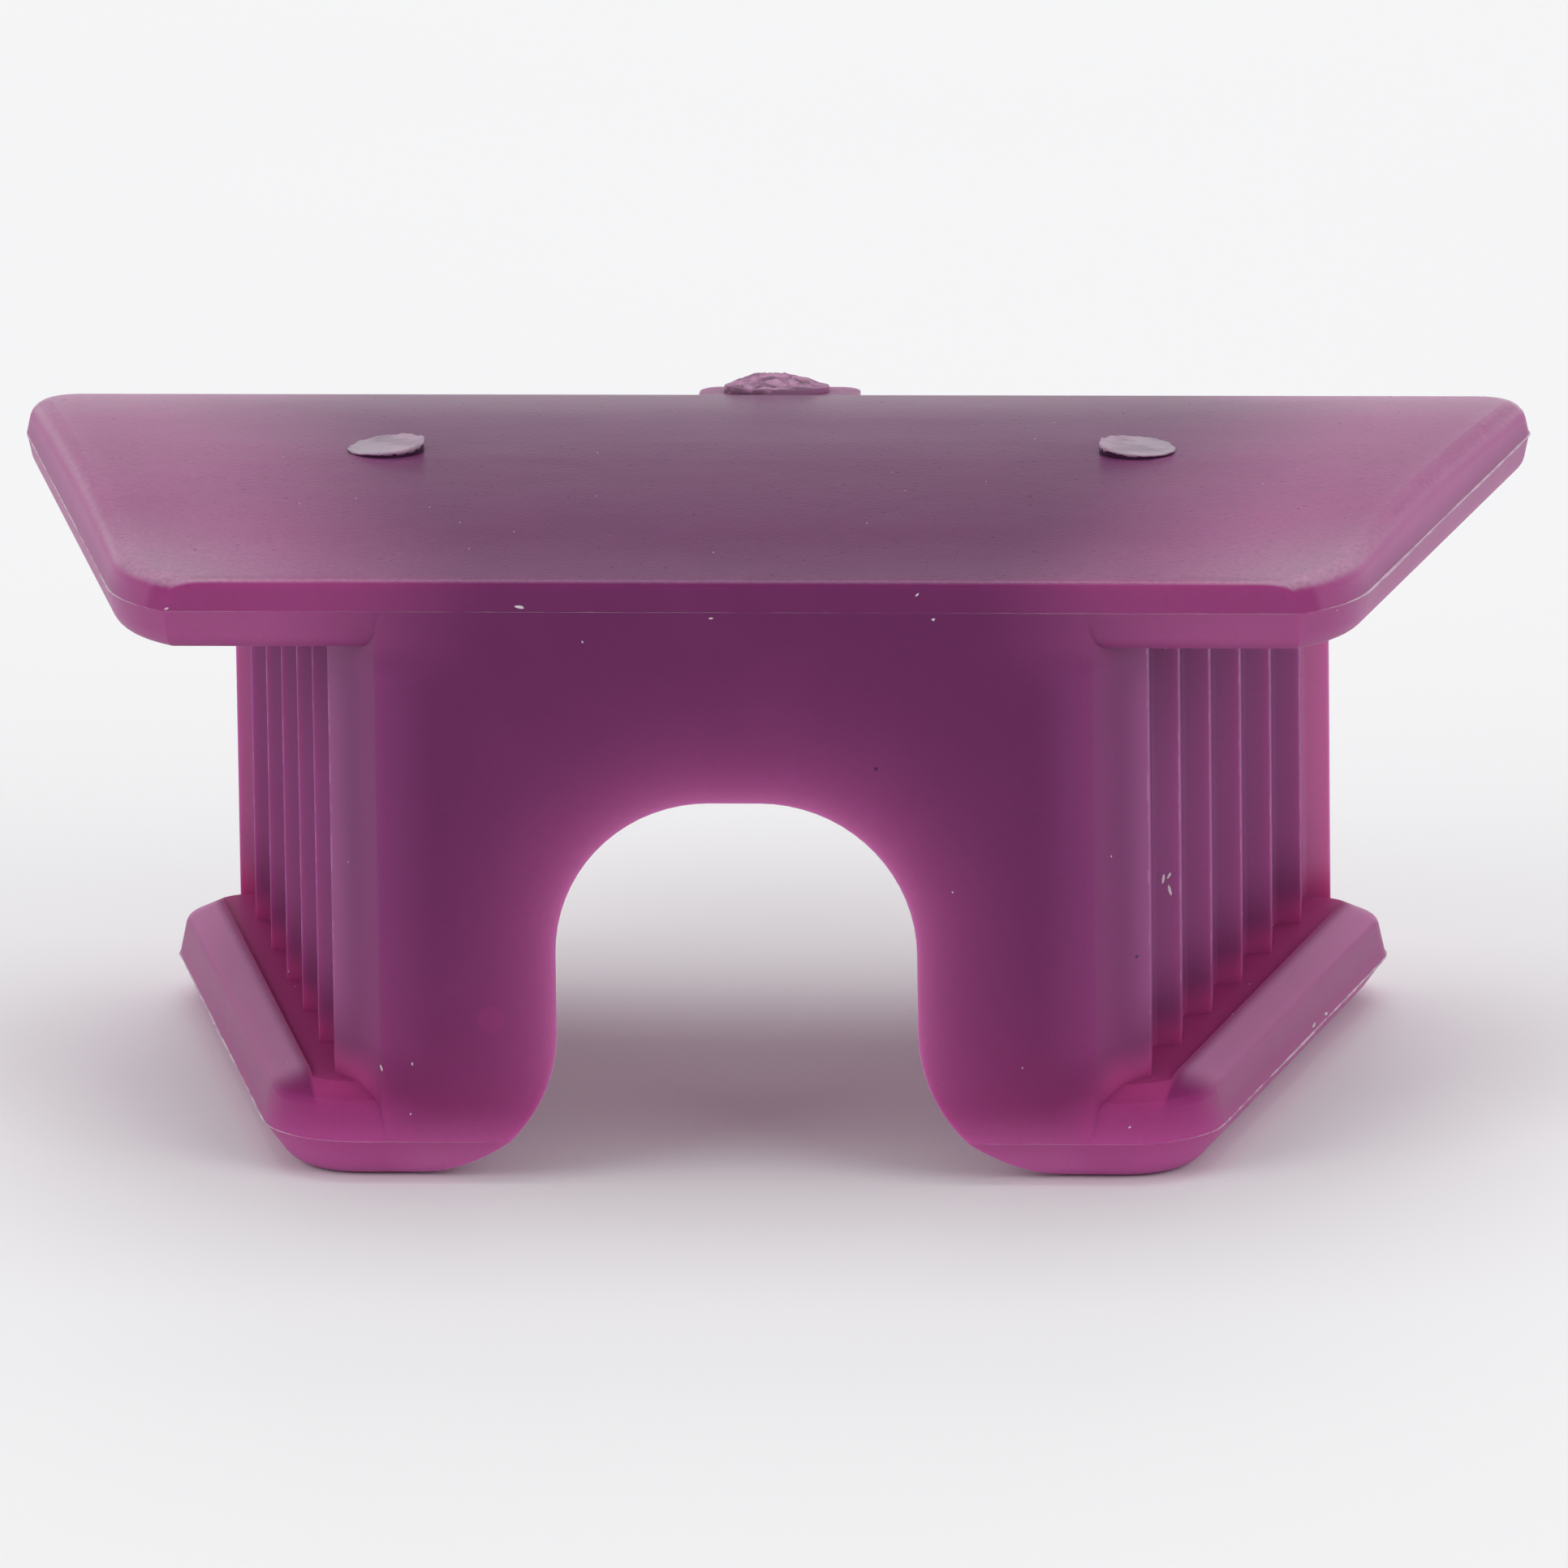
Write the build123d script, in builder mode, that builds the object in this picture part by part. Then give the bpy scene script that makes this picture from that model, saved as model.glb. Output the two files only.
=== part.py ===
from build123d import *
import os
from math import cos, radians, sin, tan

# Wedge: the narrow end is the front, at low Y, and both bite faces open towards the back
depth = 23.8
flare_angle = 12.2
nose_width = 21.0
nose_radius = 0.4
heel_radius = 0.3
bite_width = 23.35
bite_height = 13.3

# Bite ridges: upright steps whose risers look to the front
ridge_pitch = 3.5
first_ridge = 2.15
last_land = 0.4
riser_run = 0.2
tread_relief = 1.5
crest_radius = 0.06
root_radius = 0.2

# Plate over the wedge, drafted both ways from its parting line
plate_overhang = 6.4
plate_upper = 0.9
plate_lower = 1.25
plate_crown = 0.4
plate_corner_front = 4.6
plate_corner_back = 1.6
plate_nose_cut = 0.8
plate_draft = 12.0
plate_top_radius = 0.65
plate_under_radius = 0.75
nose_edge_radius = 0.2

# Feet under the wedge, with a lip along each bite face
foot_overhang = 2.12
foot_lower = 1.3
foot_upper = 1.66
foot_corner_front = 3.0
foot_corner_back = 2.2
foot_draft = 12.0
foot_under_draft = 36.0
lip_slope_width = 1.0
lip_slope_height = 0.55
lip_radius = 0.3
foot_radius = 1.1
foot_nose_radius = 1.4
gutter_width = 0.72
gutter_depth = 0.12

# Arch between the legs, open to the floor, front and back
arch_width = 10.7
arch_height = 11.7
arch_corner = 4.6
leg_flare = 4.7

# Ejector pads on the plate and the torn gate on its back edge
pad_diameter = 2.25
pad_spacing = 22.6
pad_from_back = 9.0
pad_height = 0.14
pad_lean = 6.0
pad_depth = 0.9
pad_edge_radius = 0.06
gate_width = 4.9
gate_reach = 1.0
gate_height = 0.8
gate_corner = 0.6
stub_width = 3.0
stub_depth = 1.3
stub_rise = 0.2

# Places that follow from the sizes above
flare = tan(radians(flare_angle))
front_y = -(depth + gate_reach) / 2
back_y = front_y + depth
lip_top = foot_lower + foot_upper
plate_bottom = lip_top + bite_height
plate_parting = plate_bottom + plate_lower
plate_edge = plate_parting + plate_upper
plate_top = plate_edge + plate_crown
ridge_count = int((depth - first_ridge - last_land) / ridge_pitch) + 1
foot_front_width = bite_width + 2 * foot_overhang
plate_front_width = bite_width + 2 * plate_overhang
plate_start = front_y - plate_nose_cut
crown_middle = (plate_start + back_y) / 2


def half_width(front_width, y):
    """Half the width, at a place along Y, of a wedge that is front_width wide at the front."""
    return front_width / 2 + (y - front_y) * flare


def wedge(plane, front_width, start_y, front_radius, back_radius):
    """Trapezoid that opens with the bite faces, with round corners, from start_y to the back."""
    front_half = half_width(front_width, start_y)
    back_half = half_width(front_width, back_y)
    with BuildSketch(plane) as outline:
        with BuildLine():
            Polyline(
                (-front_half, start_y),
                (front_half, start_y),
                (back_half, back_y),
                (-back_half, back_y),
                close=True,
            )
        make_face()
        fillet(outline.vertices().group_by(Axis.Y)[0], front_radius)
        fillet(outline.vertices().group_by(Axis.Y)[-1], back_radius)
    return outline.sketch


def arch_section(plane, width):
    """Section of the space between the legs: round shoulders above, legs rounded off below."""
    half = width / 2
    mouth = half + leg_flare
    with BuildSketch(plane) as section:
        with BuildLine():
            Line((mouth, -leg_flare), (mouth, 0))
            RadiusArc((mouth, 0), (half, leg_flare), leg_flare)
            Line((half, leg_flare), (half, arch_height - arch_corner))
            RadiusArc((half, arch_height - arch_corner), (half - arch_corner, arch_height), -arch_corner)
            Line((half - arch_corner, arch_height), (0, arch_height))
            Line((0, arch_height), (0, -leg_flare))
            Line((0, -leg_flare), (mouth, -leg_flare))
        make_face()
        mirror(about=Plane.YZ)
    return section.sketch


# Plan of one side of the wedge: nose, lead-in to the first crest, the steps, and the back corner
crest_y = [front_y + first_ridge + i * ridge_pitch for i in range(ridge_count)]
crests = [(half_width(bite_width, y), y) for y in crest_y]
relief = tan(radians(tread_relief))
tread = ridge_pitch - riser_run
roots = [(x - tread * relief, y + tread) for x, y in crests[:-1]]
heel = (crests[-1][0] - (back_y - crests[-1][1]) * relief, back_y)
steps = [crests[0]]
step_radii = [crest_radius]
for root, crest in zip(roots, crests[1:]):
    steps += [root, crest]
    step_radii += [root_radius, crest_radius]
side = [(0, front_y), (nose_width / 2, front_y), *steps, heel, (0, back_y)]
side_radii = [nose_radius, *step_radii, heel_radius]

with BuildSketch() as wedge_plan:
    with BuildLine():
        FilletPolyline(*side, radius=side_radii)
        Line(side[-1], side[0])
    make_face()
    mirror(about=Plane.YZ)

# Plate: the upper half is crowned and round at its edge, and the nose is cut flat
plate_plan = wedge(
    Plane.XY.offset(plate_parting), plate_front_width, plate_start, plate_corner_front, plate_corner_back
)
nose = Plane((0, front_y, plate_parting), x_dir=(1, 0, 0), z_dir=(0, -1, 0))

with BuildPart() as plate_above:
    extrude(plate_plan, amount=plate_upper + plate_crown, taper=plate_draft)
    with BuildSketch(Plane.YZ):
        with BuildLine():
            ThreePointArc((plate_start, plate_edge), (crown_middle, plate_top), (back_y, plate_edge))
            Polyline(
                (back_y, plate_edge),
                (back_y, plate_parting),
                (plate_start, plate_parting),
                (plate_start, plate_edge),
            )
        make_face()
    extrude(amount=plate_front_width, both=True, mode=Mode.INTERSECT)
    fillet(plate_above.faces().sort_by(Axis.Z)[-1].edges(), min(plate_top_radius, plate_upper))
    split(bisect_by=nose, keep=Keep.BOTTOM)
    fillet(plate_above.faces().sort_by(Axis.Y)[0].edges().sort_by(Axis.Z)[-1], nose_edge_radius)

with BuildPart() as plate_below:
    extrude(plate_plan, amount=-plate_lower, taper=plate_draft)
    split(bisect_by=nose.rotated((plate_draft, 0, 0)), keep=Keep.BOTTOM)
    fillet(plate_below.faces().sort_by(Axis.Z)[0].edges(), min(plate_under_radius, plate_lower))

# Feet: both lips in one slab, before the arch parts the legs
foot_plan = wedge(
    Plane.XY.offset(foot_lower), foot_front_width, front_y, foot_corner_front, foot_corner_back
)
foot_nose = min(foot_nose_radius, foot_upper)
gutter_front = half_width(bite_width, front_y) + gutter_width
gutter_back = half_width(bite_width, back_y) + gutter_width

with BuildPart() as feet:
    extrude(foot_plan, amount=foot_upper, taper=foot_draft)
    lip_face = feet.faces().sort_by(Axis.Z)[-1]
    chamfer(lip_face.edges(), lip_slope_width, lip_slope_height, reference=lip_face)
    fillet(feet.edges().group_by(Axis.Z)[-3], lip_radius)
    with BuildSketch(Plane.XY.offset(lip_top)):
        with BuildLine():
            Polyline(
                (-gutter_front, front_y),
                (gutter_front, front_y),
                (gutter_back, back_y),
                (-gutter_back, back_y),
                close=True,
            )
        make_face()
    extrude(amount=-gutter_depth, mode=Mode.SUBTRACT)
    with BuildSketch(Plane.YZ):
        with BuildLine():
            Line((front_y, lip_top), (front_y, lip_top - foot_nose))
            RadiusArc((front_y, lip_top - foot_nose), (front_y + foot_nose, lip_top), foot_nose)
            Line((front_y + foot_nose, lip_top), (front_y, lip_top))
        make_face()
    extrude(amount=foot_front_width, both=True, mode=Mode.SUBTRACT)
    extrude(foot_plan, amount=-foot_lower, taper=foot_under_draft)
    fillet(feet.faces().sort_by(Axis.Z)[0].edges(), min(foot_radius, foot_lower))

with BuildPart() as arch:
    loft(
        [
            arch_section(Plane.XZ.offset(-front_y), arch_width),
            arch_section(Plane.XZ.offset(-back_y), arch_width + 2 * depth * flare),
        ],
        ruled=True,
    )

# Pads lean outwards and stand just above the crown; the gate is a tab on the parting line with a stub on it
pad_y = back_y - pad_from_back
pad_drop = ((pad_y - crown_middle) / (back_y - crown_middle)) ** 2
pad_top = plate_edge + plate_crown * (1 - pad_drop) + pad_height
gate_back = back_y + gate_reach
gate_top = plate_parting + gate_height

pad_axis = (sin(radians(pad_lean)), 0, cos(radians(pad_lean)))

with BuildPart() as pads:
    with BuildSketch(Plane((pad_spacing / 2, pad_y, pad_top), z_dir=pad_axis)):
        Circle(pad_diameter / 2)
    extrude(amount=-pad_depth)
    fillet(pads.faces().sort_by(Axis.Z)[-1].edges(), pad_edge_radius)
    mirror(about=Plane.YZ)

with BuildPart() as gate:
    with BuildSketch(Plane.XY.offset(plate_parting)) as tab:
        with Locations((0, gate_back)):
            Rectangle(gate_width, 2 * gate_reach, align=(Align.CENTER, Align.MAX))
        fillet(tab.vertices().group_by(Axis.Y)[-1], gate_corner)
    extrude(amount=gate_height)
    with BuildSketch(Plane.XY.offset(plate_parting)):
        with Locations((0, gate_back - stub_depth / 2)):
            Ellipse(stub_width / 2, stub_depth / 2)
    extrude(amount=gate_height + stub_rise)

with BuildPart() as bite_block:
    with BuildSketch(Plane.XY.offset(foot_lower)):
        add(wedge_plan.sketch)
    extrude(amount=plate_parting - foot_lower)
    add(plate_above.part)
    add(plate_below.part)
    add(feet.part)
    add(arch.part, mode=Mode.SUBTRACT)
    add(pads.part)
    add(gate.part)

os.makedirs("parts", exist_ok=True)
bite_block.part.label = "bite_block"
export_step(bite_block.part, "parts/bite_block.step")
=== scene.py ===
"""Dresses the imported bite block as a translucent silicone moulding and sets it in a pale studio."""

import logging
import math
import random
from dataclasses import dataclass, field
from enum import Enum
from typing import Any, Iterable, Optional, Union

import bmesh
import bpy
from mathutils import Matrix, Vector, noise
from mathutils.bvhtree import BVHTree


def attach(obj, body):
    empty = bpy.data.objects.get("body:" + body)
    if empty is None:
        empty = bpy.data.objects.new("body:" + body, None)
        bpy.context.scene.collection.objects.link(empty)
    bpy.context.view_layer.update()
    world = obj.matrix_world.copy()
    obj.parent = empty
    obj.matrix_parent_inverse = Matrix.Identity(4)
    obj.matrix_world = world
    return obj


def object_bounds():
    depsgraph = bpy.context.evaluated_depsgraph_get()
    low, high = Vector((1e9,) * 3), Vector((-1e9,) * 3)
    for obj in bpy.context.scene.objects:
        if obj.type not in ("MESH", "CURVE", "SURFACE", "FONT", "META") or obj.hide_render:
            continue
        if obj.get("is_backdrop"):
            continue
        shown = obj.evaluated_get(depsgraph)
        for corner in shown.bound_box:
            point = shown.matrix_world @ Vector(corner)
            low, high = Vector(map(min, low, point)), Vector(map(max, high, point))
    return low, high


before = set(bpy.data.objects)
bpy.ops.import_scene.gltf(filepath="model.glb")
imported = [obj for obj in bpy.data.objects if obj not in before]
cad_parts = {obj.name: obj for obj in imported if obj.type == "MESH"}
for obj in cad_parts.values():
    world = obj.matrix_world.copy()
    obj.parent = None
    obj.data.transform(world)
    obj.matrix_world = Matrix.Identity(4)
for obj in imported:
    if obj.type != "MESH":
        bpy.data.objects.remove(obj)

LOG = logging.getLogger("bite_block")
MM = 0.001
BODY = "root"
NODE = "bite_block"
IMAGE_SIDE = 1932
SENSOR_MM = 36.0
SILICONE_IOR = 1.41
SILICONE_SCATTER = (1.0, 0.32, 0.62)
Colour = tuple[float, float, float]
Spot = tuple[float, float, float]
Number = Union["Value", float]
Masks = dict[str, "Value"]
Layer = tuple["Value", Any]


class Side(Enum):
    """The two mirrored sides of the block, as the sign of X."""

    LEFT = -1
    RIGHT = 1


class Blend(Enum):
    """How a colour is laid over another one."""

    MIX = "MIX"
    MULTIPLY = "MULTIPLY"


class Value:
    """A number socket of a shader tree, with the arithmetic that adds Math nodes."""

    def __init__(self, tree: "ShaderTree", socket: bpy.types.NodeSocket) -> None:
        """Keeps the tree and the socket."""
        self.tree = tree
        self.socket = socket

    def math(self, operation: str, *others: Number, first: Optional[float] = None) -> "Value":
        """Adds one Math node.

        Args:
            operation: Name of the Math node's operation.
            others: Numbers or values for the inputs after this one.
            first: Number that goes before this value, for reflected operators.

        Returns:
            The node's result.
        """
        inputs = [self, *others] if first is None else [first, self]
        return self.tree.value("ShaderNodeMath", {"operation": operation}, dict(enumerate(inputs)))

    def __add__(self, other: Number) -> "Value":
        """Sum."""
        return self.math("ADD", other)

    def __radd__(self, other: float) -> "Value":
        """Sum with a number first."""
        return self.math("ADD", first=other)

    def __sub__(self, other: Number) -> "Value":
        """Difference."""
        return self.math("SUBTRACT", other)

    def __rsub__(self, other: float) -> "Value":
        """Difference with a number first."""
        return self.math("SUBTRACT", first=other)

    def __mul__(self, other: Number) -> "Value":
        """Product."""
        return self.math("MULTIPLY", other)

    def __rmul__(self, other: float) -> "Value":
        """Product with a number first."""
        return self.math("MULTIPLY", first=other)

    def __truediv__(self, other: Number) -> "Value":
        """Quotient."""
        return self.math("DIVIDE", other)

    def __rtruediv__(self, other: float) -> "Value":
        """Quotient with a number first."""
        return self.math("DIVIDE", first=other)

    def __abs__(self) -> "Value":
        """Size without sign."""
        return self.math("ABSOLUTE")

    def __pow__(self, other: float) -> "Value":
        """Power."""
        return self.math("POWER", other)

    def high(self, other: Number) -> "Value":
        """The larger of two."""
        return self.math("MAXIMUM", other)

    def low(self, other: Number) -> "Value":
        """The smaller of two."""
        return self.math("MINIMUM", other)

    def fade(self, length: float) -> "Value":
        """Light that dies away with distance: 1 at zero, a third at one length."""
        return (self.high(0.0) / -length).math("EXPONENT")

    def rise(self, start: float, end: float) -> "Value":
        """Smooth step from 0 at start to 1 at end.

        Args:
            start: Value where the step begins.
            end: Value where the step is complete.

        Returns:
            The step, held between 0 and 1.
        """
        settings = {"interpolation_type": "SMOOTHSTEP"}
        sockets = {"Value": self, "From Min": start, "From Max": end}
        return self.tree.value("ShaderNodeMapRange", settings, sockets)

    def fall(self, start: float, end: float) -> "Value":
        """Smooth step from 1 at start to 0 at end."""
        return 1 - self.rise(start, end)

    def band(self, start: float, full: float, hold: float, end: float) -> "Value":
        """Smooth band from 0 up to 1 and down to 0 again.

        Args:
            start: Value where the band begins.
            full: Value where it is complete.
            hold: Value where it begins to fall.
            end: Value where it is over.

        Returns:
            The band.
        """
        return self.rise(start, full) * self.fall(hold, end)

    def clamp(self) -> "Value":
        """Held between 0 and 1."""
        return self.high(0.0).low(1.0)


class ShaderTree:
    """The node tree of one material or world."""

    def __init__(self, owner: Union[bpy.types.Material, bpy.types.World]) -> None:
        """Empties the owner's tree."""
        owner.use_nodes = True
        self.owner = owner
        self.tree = owner.node_tree
        self.tree.nodes.clear()

    def node(self, kind: str, settings: dict[str, Any], sockets: dict[Any, Any]) -> bpy.types.Node:
        """Adds a node.

        Args:
            kind: The node's type.
            settings: The node's own settings, set before its sockets.
            sockets: Input name or place to a number, colour, value or output socket.

        Returns:
            The node.
        """
        node = self.tree.nodes.new(kind)
        for key, setting in settings.items():
            setattr(node, key, setting)
        for key, given in sockets.items():
            if isinstance(given, Value):
                given = given.socket
            if isinstance(given, bpy.types.NodeSocket):
                self.tree.links.new(given, node.inputs[key])
            else:
                node.inputs[key].default_value = given
        return node

    def value(self, kind: str, settings: dict[str, Any], sockets: dict[Any, Any], out: Any = 0) -> Value:
        """Adds a node and wraps one of its outputs.

        Args:
            kind: The node's type.
            settings: The node's own settings.
            sockets: The node's inputs.
            out: Name or place of the output.

        Returns:
            The output as a value.
        """
        return Value(self, self.node(kind, settings, sockets).outputs[out])

    def colour(self, mode: Blend, factor: Number, base: Any, over: Any) -> bpy.types.NodeSocket:
        """Lays one colour over another.

        Args:
            mode: How it is laid.
            factor: How much of it shows.
            base: Colour or socket below.
            over: Colour or socket above.

        Returns:
            The mixed colour's socket.
        """
        sides = {6: base, 7: over}
        given = {key: (*c, 1.0) if isinstance(c, tuple) else c for key, c in sides.items()}
        settings = {"data_type": "RGBA", "blend_type": mode.value, "clamp_factor": True}
        return self.node("ShaderNodeMix", settings, {0: factor, **given}).outputs[2]

    def grey(self, level: Value) -> bpy.types.NodeSocket:
        """A grey colour of that level."""
        return self.node("ShaderNodeCombineColor", {}, {0: level, 1: level, 2: level}).outputs[0]

    def place(self) -> tuple[bpy.types.NodeSocket, Value, Value, Value]:
        """The point being shaded.

        Returns:
            The object-space vector in metres, then X, Y and Z in millimetres.
        """
        point = self.node("ShaderNodeTexCoord", {}, {}).outputs["Object"]
        parts = self.node("ShaderNodeSeparateXYZ", {}, {0: point})
        x, y, z = (Value(self, out) / MM for out in parts.outputs)
        return point, x, y, z

    def stretched(self, point: bpy.types.NodeSocket, times: float) -> bpy.types.NodeSocket:
        """Coordinates whose pattern is drawn out along X.

        Args:
            point: Vector in metres.
            times: How many times longer the pattern is along X.

        Returns:
            The new vector.
        """
        # cad_box: The solid's box before anything is added; not used.
        settings = {"operation": "MULTIPLY"}
        return self.node("ShaderNodeVectorMath", settings, {0: point, 1: (1 / times, 1.0, 1.0)}).outputs[0]

    def facing_up(self) -> Value:
        """How far the surface looks up, from -1 to 1."""
        normal = self.node("ShaderNodeNewGeometry", {}, {}).outputs["Normal"]
        return self.value("ShaderNodeSeparateXYZ", {}, {0: normal}, "Z")

    def noise(self, point: bpy.types.NodeSocket, pitch_mm: float, detail: float = 2.0) -> Value:
        """Smooth noise around 0.5 whose lumps are pitch_mm apart.

        Args:
            point: Vector in metres.
            pitch_mm: Distance between lumps.
            detail: Number of finer layers.

        Returns:
            The noise.
        """
        sockets = {"Vector": point, "Scale": 1 / (pitch_mm * MM), "Detail": detail, "Roughness": 0.55}
        return self.value("ShaderNodeTexNoise", {"noise_dimensions": "3D"}, sockets)

    def bump(self, height_mm: Value) -> bpy.types.NodeSocket:
        """Turns a height in millimetres into a surface normal."""
        return self.node("ShaderNodeBump", {}, {"Distance": MM, "Height": height_mm}).outputs[0]

    def surface(self, sockets: dict[str, Any]) -> bpy.types.Material:
        """Closes the tree with a principled shader.

        Args:
            sockets: The shader's inputs.

        Returns:
            The finished material.
        """
        shader = self.node("ShaderNodeBsdfPrincipled", {"subsurface_method": "RANDOM_WALK"}, sockets)
        self.node("ShaderNodeOutputMaterial", {}, {"Surface": shader.outputs[0]})
        return self.owner


@dataclass(frozen=True)
class BlockSizes:
    """Sizes of the moulding in millimetres, as the solid has them."""

    depth: float = 23.8
    flare: float = math.tan(math.radians(12.2))
    bite_width: float = 23.35
    nose_half: float = 10.5
    plate_bottom: float = 16.26
    plate_parting: float = 17.51
    plate_edge: float = 18.41
    plate_overhang: float = 6.4
    plate_corner_front: float = 4.6
    plate_corner_back: float = 1.6
    plate_nose_cut: float = 0.8
    foot_parting: float = 1.3
    lip_top: float = 2.96
    foot_overhang: float = 2.12
    foot_corner_front: float = 3.0
    foot_corner_back: float = 2.2
    gutter_width: float = 0.72
    arch_width: float = 10.7
    arch_height: float = 11.7
    arch_corner: float = 4.6
    leg_flare: float = 4.7
    pad_diameter: float = 2.25
    pad_spacing: float = 22.6
    pad_from_back: float = 9.0
    pad_top: float = 18.92
    gate_reach: float = 1.0
    stub_width: float = 3.0
    stub_depth: float = 1.3
    stub_top: float = 18.51

    @property
    def front(self) -> float:
        """Y of the narrow front."""
        return -(self.depth + self.gate_reach) / 2

    @property
    def back(self) -> float:
        """Y of the wide back."""
        return self.front + self.depth

    @property
    def bite_half(self) -> float:
        """Half the width across the crests at the front."""
        return self.bite_width / 2

    def widen(self, half: float, y: float) -> float:
        """Half width, at a place along Y, of what is 2 * half wide at the front."""
        return half + (y - self.front) * self.flare


class MouldingZones:
    """Where on the moulding a shaded point lies, as masks from 0 to 1; lengths are in millimetres."""

    def __init__(self, tree: ShaderTree, sizes: BlockSizes) -> None:
        """Works out the distances that the masks share.

        Args:
            tree: The tree that gets the nodes.
            sizes: Sizes of the moulding.
        """
        self.sizes = sizes
        self.point, self.x, y, self.z = tree.place()
        self.across = abs(self.x)
        self.from_front = y - sizes.front
        self.from_back = sizes.back - y
        self.spread = self.from_front * sizes.flare
        self.outside = self.across - (sizes.bite_half + self.spread)
        self.over_lip = self.z - sizes.lip_top
        self.over_plate = self.z - sizes.plate_bottom
        self.lead_in = self.from_front.rise(0.8, 2.4)
        self.level = tree.facing_up().rise(0.36, 0.78)

    def from_arch(self) -> Value:
        """Distance into the silicone from the space between the legs.

        Returns:
            The distance.
        """
        s = self.sizes
        aside = self.across - self.spread - (s.arch_width / 2 - s.arch_corner)
        up = self.z - (s.arch_height - s.arch_corner)
        round_x, round_z = aside.high(0.0), up.high(0.0)
        shoulder = (round_x * round_x + round_z * round_z) ** 0.5
        return shoulder + aside.high(up).low(0.0) - s.arch_corner

    def spot(self, spot: Spot) -> Value:
        """A soft round spot in the front.

        Args:
            spot: Its middle across, its height and its radius.

        Returns:
            1 in the spot and 0 outside.
        """
        middle, height, radius = spot
        aside, up = self.x - middle, self.z - height
        from_middle = (aside * aside + up * up) ** 0.5
        return from_middle.fall(radius * 0.6, radius) * self.from_front.fall(1.6, 2.0)

    def pad_shadow(self) -> Value:
        """Painted shadow: the dark line round the front of each pad, where the pad's front edge shades the
        plate.

        Returns:
            1 on the line.
        """
        s = self.sizes
        aside, behind = self.across - s.pad_spacing / 2, s.pad_from_back - self.from_back
        from_pad = (aside * aside + behind * behind) ** 0.5 - s.pad_diameter / 2
        return from_pad.fall(0.03, 0.11) * behind.fall(-0.4, 0.2)

    def plate(self) -> Masks:
        """Finds the plate's flange, flat nose, side walls, gate stub, level top and the painted sheen on
        that top.

        Returns:
            The masks by name.
        """
        s = self.sizes
        over_seam, over_edge = self.z - s.plate_parting, self.z - s.plate_edge
        rim = s.plate_overhang - self.outside
        wall = rim.fall(0.0, 1.6) * self.from_front.rise(0.6, 2.8)
        gate = self.from_back.fall(0.35, 0.5) * self.across.fall(2.5, 2.8)
        # Painted sheen on the level top: strongest at the back edge, the front corners and the sides.
        corner_sheen = rim.fall(0.3, 6.5) * self.from_front.fall(0.5, 9.0)
        front_sheen = self.from_front.fall(0.0, 5.0) * 0.3
        back_sheen = self.from_back.fall(0.0, 5.0) * 0.8
        side_sheen = self.outside.rise(-6.0, 3.0) * 0.22
        return {
            "flange": self.outside.rise(-5.0, 3.5) * self.over_plate.rise(-1.2, 0.5),
            "facet": self.from_front.fall(0.35, 0.6) * over_seam.rise(-0.02, 0.05),
            "wall": wall * self.over_plate.rise(-0.3, 0.3),
            "brink": wall * over_seam.band(-0.02, 0.03, 0.2, 0.6),
            "stub": gate * over_edge.rise(-0.3, 0.0),
            "top": over_edge.rise(-0.35, -0.1) * self.level,
            "painted_sheen": corner_sheen + front_sheen + back_sheen + side_sheen,
        }

    def body(self) -> Masks:
        """Finds the wedge's thin edges, bite steps, nose edge and heels.

        Returns:
            The masks by name.
        """
        s = self.sizes
        from_arch = self.from_arch()
        nose = self.across.rise(s.nose_half - 1.8, s.nose_half) * self.from_front.fall(0.3, 1.6)
        steps_up = self.over_lip.rise(0.0, 3.0) * self.over_plate.fall(-0.3, 0.0)
        steps = self.outside.band(-1.2, -0.6, 0.2, 0.5) * (self.lead_in * 0.85 + 0.15)
        # Painted glow at the back corners where light comes through; brighter on the right side, where more
        # light falls.
        heel = self.from_back.fall(0.3, 2.2) * self.outside.rise(-5.0, -0.2)
        heel_side = self.x.rise(-1.0, 1.0) * 0.42 + 0.58
        heel_up = self.over_plate.fall(0.0, s.plate_edge - s.plate_bottom) * 0.5 + 0.5
        return {
            "arch": from_arch.fade(1.35),
            "thin": from_arch.fade(0.3),
            "blush": self.z.fade(2.8),
            "pink": self.z.fall(-0.2, 2.6),
            "edge": nose * self.over_lip.rise(0.0, 1.5) * self.over_plate.fall(-0.8, 0.0),
            "heel": heel * heel_side * heel_up,
            "ridge": steps * steps_up,
            # Where the painted crest highlight goes.
            "crest": self.outside.band(-0.05, -0.01, 0.1, 0.3) * steps_up,
        }

    def feet(self) -> Masks:
        """Finds the feet's lips, gutters and round fronts.

        Returns:
            The masks by name.
        """
        s = self.sizes
        past_gutter, past_lip = self.outside - s.gutter_width, self.outside - s.foot_overhang
        lip_up = self.over_lip.fall(0.2, 0.8) * (self.z - s.foot_parting).rise(-0.2, 0.7)
        hollow = self.outside.rise(-2.0, -0.9) * past_gutter.fall(0.0, 0.16)
        hollow_up = self.z.rise(1.9, 2.7) * self.over_lip.fall(-0.1, 1.1)
        groove_up = self.z.rise(2.0, 2.6) * self.over_lip.fall(0.05, 0.3)
        mound = self.outside.rise(-2.6, -1.0) * self.over_lip.fall(-0.9, 0.0)
        return {
            "lip": past_gutter.rise(-0.05, 0.35) * lip_up * self.from_front.rise(1.2, 3.4),
            "outer": past_lip.rise(-0.42, -0.2),
            "valley": hollow * hollow_up * self.from_front.rise(-0.3, 1.0),
            "groove": past_gutter.band(-0.22, -0.04, 0.03, 0.12) * groove_up * self.lead_in,
            "mound": mound * self.from_front.fall(1.5, 3.4),
        }


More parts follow.
